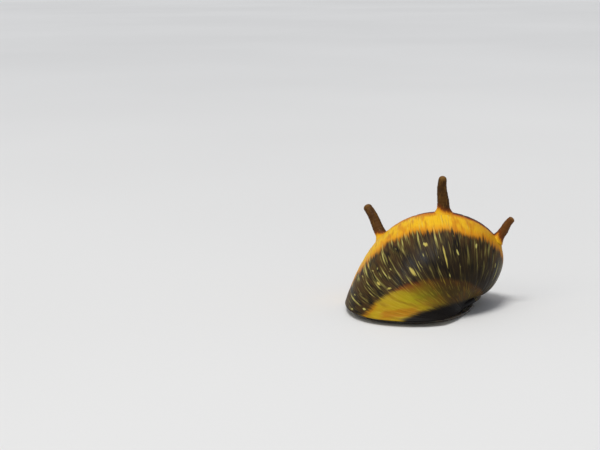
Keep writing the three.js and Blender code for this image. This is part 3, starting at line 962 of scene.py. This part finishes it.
def horn_path(horn, root, tip, along):
    """Middle line of a horn with the height of each point above the root, and the whole height."""
    start = root + along * (BOSS_HEIGHT + HORN_COLLAR)
    sideways = np.cross([0, 1, 0], along)
    sideways /= np.linalg.norm(sideways)
    middle = start + (tip - start) * 0.55 + sideways * horn.bend
    upper = catmull([start, start + along * 0.15, middle, tip], 40)
    straight_top = BOSS_HEIGHT + 0.9 * HORN_COLLAR
    heights = np.linspace(-HORN_SINK, straight_top, HORN_STRAIGHT_POINTS)
    path = np.concatenate([[root + along * h for h in heights], upper])
    steps = np.linalg.norm(np.diff(path, axis=0), axis=1)
    length = np.concatenate([[0], np.cumsum(steps)])
    total = length[-1]
    spread = np.linspace(0, total, HORN_POINTS)
    closer = np.linspace(total - HORN_END_LENGTH, total, HORN_END_POINTS)
    even = np.unique(np.concatenate([spread, closer]))
    path = np.stack([np.interp(even, length, path[:, i]) for i in range(3)], -1)
    for _ in range(6):
        path[1:-1] = path[1:-1] * 0.5 + (path[:-2] + path[2:]) * 0.25
    return path, even - HORN_SINK, total - HORN_SINK


def horn_radii(horn, heights, share):
    """Radius along a horn: a spreading foot, a tapering body and a round end."""
    body = horn.radius + (horn.end_radius - horn.radius) * share
    skirt = np.clip(1 - (heights + BOSS_DEPTH) / (BOSS_HEIGHT + BOSS_DEPTH), 0, 1)
    body = np.where(heights < BOSS_HEIGHT, horn.radius * (1 + horn.spread * skirt**2), body)
    body = body + np.interp(heights, *HORN_SHEET)
    return body * (0.02 + 0.98 * dome(share, HORN_DOME))


def build_horn(horn):
    root, tip, along = horn_place(horn)
    path, heights, total = horn_path(horn, root, tip, along)
    collar = BOSS_HEIGHT + HORN_COLLAR
    share = np.clip((heights - collar) / (total - collar), 0, 1)
    body = horn_radii(horn, heights, share)
    tangent = np.gradient(path, axis=0)
    tangent /= np.linalg.norm(tangent, axis=1, keepdims=True)

    # The yellow band lies on one side of the horn's foot.
    lower_down = margin_point(np.float64(HORN_LINE + 0.05))
    beside = coil(lower_down, np.float64(horn.growth * DEG)) - root
    beside /= np.linalg.norm(beside)

    # The seam of the horn, at angle 0, faces the growing margin.
    angle = np.linspace(0, 2 * np.pi, HORN_SIDES, endpoint=False)
    away = np.minimum(angle, 2 * np.pi - angle)
    fold = -0.07 * np.exp(-((away / 0.16) ** 2)) + 0.02 * np.exp(-(((away - 0.42) / 0.2) ** 2))
    phases = rng.uniform(0, 6.28, 6)
    rows, banded = [], []
    for i, centre in enumerate(path):
        x = HORN_SEAM_SIDE - tangent[i] * (HORN_SEAM_SIDE @ tangent[i])
        x /= np.linalg.norm(x)
        y = np.cross(tangent[i], x)
        up = heights[i]
        ripple = 0.012 * math.sin(up * 17 + phases[0]) + 0.01 * math.sin(up * 9.1 + phases[1])
        lobes = 0.02 * np.cos(2 * angle + phases[2]) + 0.012 * np.cos(3 * angle + phases[3] + up)
        strength = min(1.0, max(0.0, (up - 0.2) / 0.8))
        r = body[i] * (1 + strength * (ripple + lobes + fold))
        spoke = np.cos(angle)[:, None] * x + np.sin(angle)[:, None] * y
        rows.append(centre + r[:, None] * spoke)
        banded.append(0.5 + 0.5 * spoke @ beside)
    count = len(rows)
    grain = [np.tile(np.cos(angle) * 0.5, count), np.repeat(heights, HORN_SIDES),
             np.tile(np.sin(angle) * 0.5, count)]
    layers = {
        "share": np.repeat(share, HORN_SIDES),
        "side": np.tile(0.5 - 0.5 * np.sin(angle), count),
        "warm": np.full(count * HORN_SIDES, horn.warm),
        "banded": np.array(banded).ravel(),
        "grain": np.stack(grain, -1),
    }
    faces = [list(q) for q in grid_faces(count, HORN_SIDES, wrap=True)]
    last = (count - 1) * HORN_SIDES
    faces.append([last + k for k in range(HORN_SIDES)])
    points = np.stack(rows).reshape(-1, 3) + LIFT
    piece = new_piece(horn.name + "_skin", points, faces, layers, HORN, [horn.name])
    return piece


# Soft body


def ellipsoid_mesh(size, centre, turn=0.0, rings=20, sides=32):
    polar = np.linspace(np.pi, 0, rings + 1)[1:-1]
    angle = np.linspace(0, 2 * np.pi, sides, endpoint=False)
    p, a = np.meshgrid(polar, angle, indexing="ij")
    x, y, z = size[0] * np.sin(p) * np.cos(a), size[1] * np.sin(p) * np.sin(a), size[2] * np.cos(p)
    c, s = math.cos(turn), math.sin(turn)
    body = np.stack([x * c - y * s, x * s + y * c, z], -1).reshape(-1, 3) + centre
    return capped(body.reshape(len(polar), sides, 3))


def capped(grid):
    """Closed mesh over a stack of rings."""
    rows, sides = grid.shape[:2]
    faces = [list(q) for q in grid_faces(rows, sides, wrap=True)]
    faces.append(list(range(sides))[::-1])
    faces.append([(rows - 1) * sides + k for k in range(sides)])
    return grid.reshape(-1, 3), faces


def tube_mesh(path, radii, sides=18):
    tangent = np.gradient(path, axis=0)
    tangent /= np.linalg.norm(tangent, axis=1, keepdims=True)
    angle = np.linspace(0, 2 * np.pi, sides, endpoint=False)
    rows = []
    for centre, t, r in zip(path, tangent, radii):
        x = np.cross(t, [0, 0, 1.0])
        x /= np.linalg.norm(x)
        y = np.cross(t, x)
        rows.append(centre + r * (np.cos(angle)[:, None] * x + np.sin(angle)[:, None] * y))
    return capped(np.stack(rows))


def margin_rings(profile, front_of=None, sides=160):
    """Stack of rings inside the margin, which may be kept in front of the hinge line."""
    psi = np.linspace(0, 2 * np.pi, sides, endpoint=False)
    rows = []
    for height, inset in profile:
        ring = margin_point(psi, inset)
        if front_of is not None:
            ring[:, 0] = np.minimum(ring[:, 0], hinge_x(ring[:, 1]) - front_of)
        ring[:, 2] = height
        rows.append(ring)
    return capped(np.stack(rows))


def feeler_mesh(side, tip):
    """Feeler that leaves the head sideways, dips to the floor and runs out to its tip."""
    start = head_point(0.45, side * (HEAD_HALF_WIDTH - 0.3), HEAD_HEIGHT - 0.15)
    leave = head_point(0.9, side * (HEAD_HALF_WIDTH + 0.34), HEAD_HEIGHT - 0.34)
    target = np.array(tip)
    knee = leave + (target - leave) * 0.45
    knee[2] = 0.33
    path = catmull([start, leave, knee, target - (target - knee) * 0.03], 14)
    share = np.linspace(0, 1, len(path))
    radii = FEELER_ROOT + (FEELER_END - FEELER_ROOT) * share
    return tube_mesh(path, radii * dome(share, FEELER_DOME, 0.05))


def flesh_parts():
    """Points and faces of the bodies that the skin is drawn over."""
    parts = [
        margin_rings(SOLE_RINGS),
        margin_rings(FOOT_RINGS),
        margin_rings(BODY_RINGS, front_of=BODY_CLEAR),
        ellipsoid_mesh(HEAD_SKIN, head_point(0, 0, HEAD_HEIGHT), HEADING),
        ellipsoid_mesh(SNOUT_SKIN, head_point(SNOUT_REACH, 0, HEAD_HEIGHT - 0.2), HEADING),
        ellipsoid_mesh(NECK_SKIN, head_point(-1.3, 0, 0.78), HEADING),
    ]
    for side, tip in FEELERS:
        parts.append(feeler_mesh(side, tip))
        stalk = head_point(EYE_AHEAD, side * (EYE_ASIDE - 0.2), HEAD_HEIGHT + 0.06)
        parts.append(ellipsoid_mesh(STALK_SKIN, stalk, HEADING, 12, 20))
    points, faces, first = [], [], 0
    for part_points, part_faces in parts:
        points.append(part_points)
        faces += [[first + k for k in face] for face in part_faces]
        first += len(part_points)
    return np.concatenate(points), faces


def drawn_over(points, faces):
    """One closed skin round overlapping bodies, as a new mesh."""
    mesh = finish_mesh(bpy.data.meshes.new("flesh_parts"), points, faces, {})
    rough = bpy.data.objects.new("flesh_parts", mesh)
    bpy.context.scene.collection.objects.link(rough)
    remesh = rough.modifiers.new("skin", "REMESH")
    remesh.mode = "VOXEL"
    remesh.voxel_size = VOXEL
    soften = rough.modifiers.new("soften", "SMOOTH")
    soften.factor = 0.5
    soften.iterations = 3
    bpy.context.view_layer.update()
    solid = rough.evaluated_get(bpy.context.evaluated_depsgraph_get())
    skin = bpy.data.meshes.new_from_object(solid)
    bpy.data.objects.remove(rough)
    return skin


def vertex_values(mesh, name):
    values = np.zeros(len(mesh.vertices) * 3)
    mesh.vertices.foreach_get(name, values)
    return values.reshape(-1, 3)


def flesh_relief(co):
    """Height of wrinkles on the sides and of lips round the mouth slit; the sole stays flat."""
    folds = np.zeros(len(co))
    for length in FOLDS:
        way = rng.normal(size=3)
        way /= np.linalg.norm(way)
        folds += FOLD_SHARE * length * np.sin(2 * np.pi * (co @ way) / length + rng.uniform(0, 6.28))
    free = np.clip((co[:, 2] - 0.03) / 0.1, 0, 1)
    for _, tip in FEELERS:
        reach = np.linalg.norm(co - np.array(tip), axis=1)
        free *= np.clip((reach - 1.5) / 2, 0.15, 1)
    along = np.array([math.cos(HEADING), math.sin(HEADING), 0])
    local = co - head_point(SNOUT_REACH + 0.42, 0, HEAD_HEIGHT - 0.46)
    ahead = local @ along
    aside = local @ np.array([-along[1], along[0], 0])
    at_mouth = np.exp(-((aside / 0.42) ** 4)) * (np.abs(local[:, 2]) < 0.35) * (ahead > -0.5)
    gap = ahead + 0.45 * local[:, 2] - 0.12 * (aside / 0.5) ** 2
    lips = LIP_HEIGHT * np.exp(-((np.abs(gap) - 0.15) / 0.07) ** 2)
    slit = MOUTH_DEPTH * np.exp(-((gap / 0.06) ** 2))
    return folds * free + (lips - slit) * at_mouth


def build_flesh():
    """One skin for foot, head and feelers."""
    skin = drawn_over(*flesh_parts())
    co, normal = vertex_values(skin, "co"), vertex_values(skin, "normal")
    co = co + normal * flesh_relief(co)[:, None]
    co[:, 2] = np.maximum(co[:, 2], 0.0)
    skin.vertices.foreach_set("co", ((co + SHIFT) * MM).ravel())
    skin.polygons.foreach_set("use_smooth", np.ones(len(skin.polygons), bool))
    skin.materials.clear()
    skin.materials.append(FLESH)
    skin.update()
    skin.name = "flesh_skin"
    piece = bpy.data.objects.new("flesh_skin", skin)
    bpy.context.scene.collection.objects.link(piece)
    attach(piece, "root")
    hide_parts("foot", "head", "tentacle_left", "tentacle_right")
    return piece


def build_eye(name, material):
    centre = box_middle(name) - SHIFT
    size = [EYE_RADIUS - shrink for shrink in EYE_SHRINK]
    points, faces = ellipsoid_mesh(size, centre, HEADING, 28, 40)
    piece = new_piece(name + "_bead", points, faces, {}, material, [name])
    return piece


def dress(node, material):
    """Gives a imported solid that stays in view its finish."""
    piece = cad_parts[node]
    piece.data.materials.clear()
    piece.data.materials.append(material)


build_shell()
build_callus()
for each in HORNS:
    build_horn(each)
build_flesh()
eye_material = eye_finish()
for each in ("eye_left", "eye_right"):
    build_eye(each, eye_material)
# The imported whorl shows cream below and painted shade on its upward faces.
dress("shell_body_whorl", INSIDE_AND_SHADE)
dress("operculum", operculum_finish())


# Stage, light and camera


def build_stage():
    half = 4.0
    points = np.array([[-half, -half, 0], [half, -half, 0], [half, half, 0], [-half, half, 0]])
    mesh = finish_mesh(bpy.data.meshes.new("floor"), points, [[0, 1, 2, 3]], {})
    floor = bpy.data.objects.new("floor", mesh)
    bpy.context.scene.collection.objects.link(floor)
    mesh.materials.append(floor_finish())

    world = bpy.data.worlds.new("studio")
    bpy.context.scene.world = world
    world.use_nodes = True
    background = world.node_tree.nodes["Background"]
    background.inputs["Color"].default_value = (0.86, 0.9, 1.0, 1)
    background.inputs["Strength"].default_value = 0.4


def add_lamp(data, toward):
    """Lamp that shines along a direction."""
    lamp = bpy.data.objects.new(data.name, data)
    bpy.context.scene.collection.objects.link(lamp)
    lamp.rotation_mode = "QUATERNION"
    lamp.rotation_quaternion = Vector(toward).to_track_quat("-Z", "Y")
    return lamp


def add_area(name, place, target, size, power, colour):
    data = bpy.data.lights.new(name, "AREA")
    data.shape = "DISK"
    data.size = size
    data.energy = power
    data.color = colour
    lamp = add_lamp(data, Vector(target) - Vector(place))
    lamp.location = place


def add_sun(name, toward, strength, angle):
    data = bpy.data.lights.new(name, "SUN")
    data.energy = strength
    data.angle = angle * DEG
    add_lamp(data, toward)


def build_camera():
    x, y, z = CAMERA_PLACE
    place = np.array([x, y, z + CLEARANCE]) + SHIFT
    data = bpy.data.cameras.new("camera")
    data.lens = 75.0
    data.sensor_width = 36.0
    data.clip_start = 0.005
    data.clip_end = 20.0
    camera = bpy.data.objects.new("camera", data)
    bpy.context.scene.collection.objects.link(camera)
    turn = Matrix((Vector(CAMERA_RIGHT), Vector(CAMERA_UP), -Vector(CAMERA_FORWARD))).transposed()
    camera.matrix_world = Matrix.Translation(Vector(place * MM)) @ turn.to_4x4()
    bpy.context.scene.camera = camera


build_stage()
add_sun("key", (0.16, 0.3, -1.0), 2.1, 20)
add_area("soft_left", (-0.2, -0.18, 0.22), (0, 0, 0.006), 0.16, 0.14, (1.0, 0.97, 0.92))
add_area("soft_top", (0.02, 0.04, 0.3), (0, 0, 0.006), 0.2, 0.1, (1.0, 0.98, 0.95))
build_camera()
bpy.context.scene.view_settings.view_transform = "Standard"
